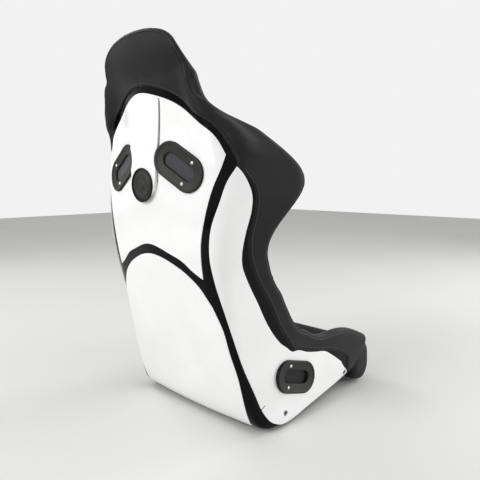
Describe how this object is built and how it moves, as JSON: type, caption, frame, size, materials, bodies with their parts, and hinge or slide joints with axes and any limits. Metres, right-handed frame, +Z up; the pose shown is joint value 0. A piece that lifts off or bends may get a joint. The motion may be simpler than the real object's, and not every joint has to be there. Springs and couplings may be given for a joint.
{
  "type": "racing bucket seat",
  "caption": "Fixed-back racing bucket seat with a moulded shell, clip-on outer panels, belt slots with bezels and upholstered bolsters.",
  "frame": {"origin": "centre of the bounding box's base, at the lowest point of the shell", "axes": "+Z up, -Y the way the sitter faces, +X to the sitter's left"},
  "size_m": [0.5652, 0.63, 0.9149],
  "materials": {
    "gloss_black_shell": "gloss moulded composite",
    "white_panel": "gloss",
    "satin_bezel": "satin",
    "steel_fastener": "zinc plated",
    "badge_black": "gloss",
    "cover_vinyl": "fine grained, satin",
    "cushion_fabric": "woven"
  },
  "bodies": {
    "root": {"shell": "gloss_black_shell", "upper_back_panel": "white_panel", "lower_back_panel": "white_panel", "left_side_panel": "white_panel", "right_side_panel": "white_panel", "left_shoulder_bezel": "satin_bezel", "right_shoulder_bezel": "satin_bezel", "left_lap_bezel": "satin_bezel", "right_lap_bezel": "satin_bezel", "left_shoulder_inner_bezel": "satin_bezel", "right_shoulder_inner_bezel": "satin_bezel", "left_lap_inner_bezel": "satin_bezel", "right_lap_inner_bezel": "satin_bezel", "crotch_belt_bezel": "satin_bezel", "bezel_screws": "steel_fastener", "mounting_inserts": "steel_fastener", "badge_ring": "badge_black", "badge_disc": "badge_black", "head_cover": "cover_vinyl", "left_shoulder_cover": "cover_vinyl", "right_shoulder_cover": "cover_vinyl", "left_shoulder_bolster": "cover_vinyl", "right_shoulder_bolster": "cover_vinyl", "left_waist_bolster": "cover_vinyl", "right_waist_bolster": "cover_vinyl", "left_thigh_bolster": "cover_vinyl", "right_thigh_bolster": "cover_vinyl", "nose_pad": "cover_vinyl", "upper_back_pad": "cushion_fabric", "backrest_cushion": "cushion_fabric", "lumbar_cushion": "cushion_fabric", "seat_cushion": "cushion_fabric"}
  },
  "joints": []
}
